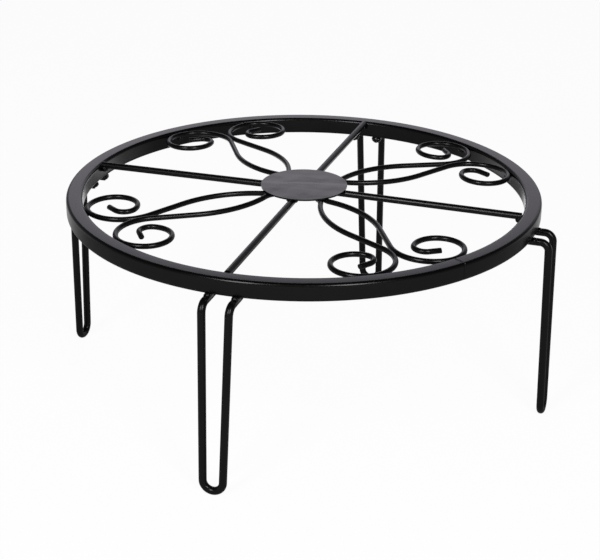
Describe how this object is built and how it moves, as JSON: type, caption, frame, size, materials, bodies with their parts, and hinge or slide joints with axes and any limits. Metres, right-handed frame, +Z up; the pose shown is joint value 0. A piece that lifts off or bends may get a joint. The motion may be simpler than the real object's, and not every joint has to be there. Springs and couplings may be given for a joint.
{
  "type": "plant stand",
  "caption": "Low round wire plant stand: a rolled square-tube ring, a spoked grate with scrolled petals round a centre disc, and bent-rod hairpin legs.",
  "frame": {"origin": "on the floor, under the middle of the ring", "axes": "+Z up; the spokes and the legs lie along +X, +Y, -X and -Y"},
  "size_m": [0.335, 0.335, 0.1377],
  "materials": {
    "coated_tube": "satin black powder coat",
    "coated_sheet": "satin black powder coat",
    "coated_rod": "satin black powder coat",
    "coated_wire": "satin black powder coat",
    "coated_weld": "satin black powder coat"
  },
  "bodies": {
    "root": {"ring_tube": "coated_tube", "ring_butt_weld": "coated_weld", "centre_disc": "coated_sheet", "spoke_right": "coated_rod", "spoke_back": "coated_rod", "spoke_left": "coated_rod", "spoke_front": "coated_rod", "scroll_back_right_a": "coated_wire", "scroll_back_right_b": "coated_wire", "scroll_back_left_a": "coated_wire", "scroll_back_left_b": "coated_wire", "scroll_front_left_a": "coated_wire", "scroll_front_left_b": "coated_wire", "scroll_front_right_a": "coated_wire", "scroll_front_right_b": "coated_wire", "leg_right": "coated_rod", "leg_back": "coated_rod", "leg_left": "coated_rod", "leg_front": "coated_rod", "leg_welds_right": "coated_weld", "leg_welds_back": "coated_weld", "leg_welds_left": "coated_weld", "leg_welds_front": "coated_weld", "spoke_welds": "coated_weld", "scroll_welds": "coated_weld", "petal_tip_welds": "coated_weld", "disc_welds": "coated_weld"}
  },
  "joints": []
}
